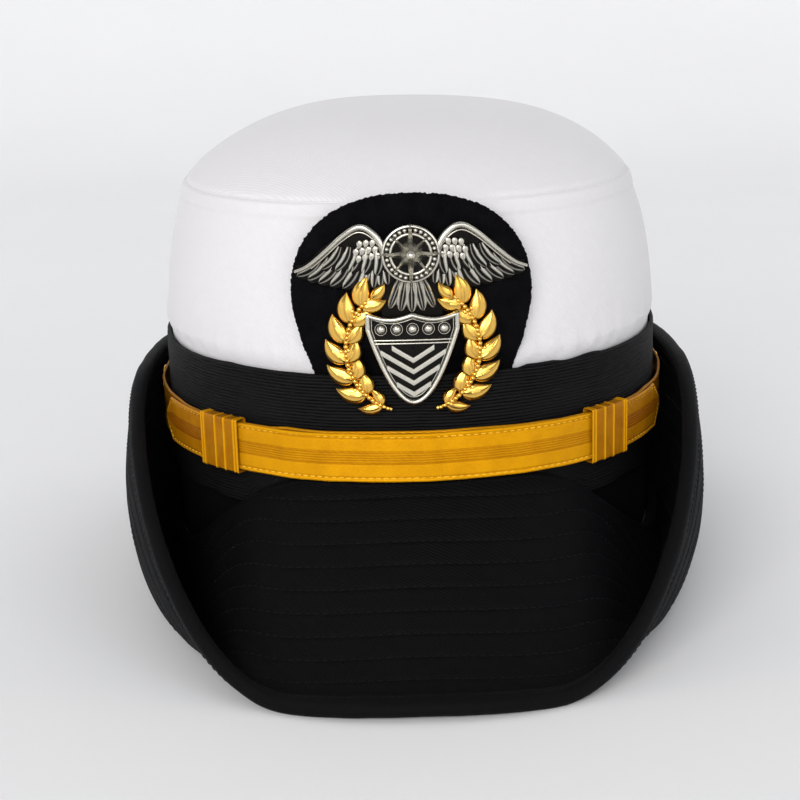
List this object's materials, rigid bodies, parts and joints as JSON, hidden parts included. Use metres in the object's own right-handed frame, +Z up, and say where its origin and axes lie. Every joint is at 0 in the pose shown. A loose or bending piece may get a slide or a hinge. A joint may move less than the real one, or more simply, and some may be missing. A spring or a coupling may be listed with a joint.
{
  "type": "military peaked cap",
  "caption": "Uniform cap with a domed white top, ribbed dark band, lace chin strap, front badge and a stitched brim rolled up at sides and back.",
  "frame": {"origin": "on the surface the cap stands on, below the middle of its outline", "axes": "+Z up; the wearer faces -Y, so the visor is on the -Y side; +X is the wearer's left"},
  "size_m": [0.2012, 0.2814, 0.162],
  "materials": {
    "white_twill": "satin twill",
    "mohair": "ribbed braid",
    "canvas": "plain weave",
    "black_cloth": "twill",
    "lining_cloth": "satin",
    "felt": "felt",
    "gold_lace": "metallic woven lace",
    "leather": "smooth",
    "frame_board": "matt",
    "brim_board": "matt",
    "silver": "silvered, oxidised recesses",
    "gilt": "polished gilt",
    "steel": "plain"
  },
  "bodies": {
    "cap_body": {"crown_frame": "frame_board", "crown_lining": "lining_cloth", "side_cloth": "black_cloth", "band_backing": "canvas", "mohair_band": "mohair", "sweatband": "leather", "sweatband_tape": "canvas", "brim_core": "brim_board", "brim_top_cover": "black_cloth", "brim_under_cover": "black_cloth", "brim_wire": "steel", "brim_binding": "black_cloth", "badge_mount": "felt", "badge_mount_stiffener": "brim_board", "badge_shield": "silver", "badge_wing_left": "silver", "badge_wing_right": "silver", "badge_boss": "silver", "badge_star": "silver", "badge_branch_left": "gilt", "badge_branch_right": "gilt", "badge_backplate": "steel", "badge_post": "steel", "badge_washer": "steel"},
    "crown_cover": {"cover_side": "white_twill", "cover_piping": "white_twill", "cover_tip": "white_twill"},
    "chin_strap": {"chin_strap_front": "gold_lace", "chin_strap_rear": "gold_lace"},
    "keeper_left": {"keeper_left": "gold_lace"},
    "keeper_right": {"keeper_right": "gold_lace"},
    "button_left": {"button_left": "gilt", "button_clip_left": "gilt"},
    "button_right": {"button_right": "gilt", "button_clip_right": "gilt"},
    "badge_nut": {"badge_nut": "steel"}
  },
  "joints": [
    {"name": "cover_lift", "type": "slide", "parent": "cap_body", "child": "crown_cover", "axis": [0, 0, 1], "range_m": [0, 0.1]},
    {"name": "strap_swing", "type": "hinge", "parent": "cap_body", "child": "chin_strap", "pos_m": [0, 0.01938, 0.06175], "axis": [-1, 0, 0], "range_deg": [0, 2.5]},
    {"name": "keeper_left_slide", "type": "hinge", "parent": "chin_strap", "child": "keeper_left", "pos_m": [0.00099, -0.00488, 0.06175], "axis": [0, 0, 1], "range_deg": [-6, 6]},
    {"name": "keeper_right_slide", "type": "hinge", "parent": "chin_strap", "child": "keeper_right", "pos_m": [-0.00099, -0.00488, 0.06175], "axis": [0, 0, 1], "range_deg": [-6, 6]},
    {"name": "button_left_spin", "type": "hinge", "parent": "cap_body", "child": "button_left", "pos_m": [0.0893, 0.01938, 0.06175], "axis": [1, 0, 0], "continuous": true},
    {"name": "button_right_spin", "type": "hinge", "parent": "cap_body", "child": "button_right", "pos_m": [-0.0893, 0.01938, 0.06175], "axis": [-1, 0, 0], "continuous": true},
    {"name": "badge_nut_spin", "type": "hinge", "parent": "cap_body", "child": "badge_nut", "pos_m": [0, -0.0822, 0.108], "axis": [0, 1, 0], "continuous": true}
  ]
}
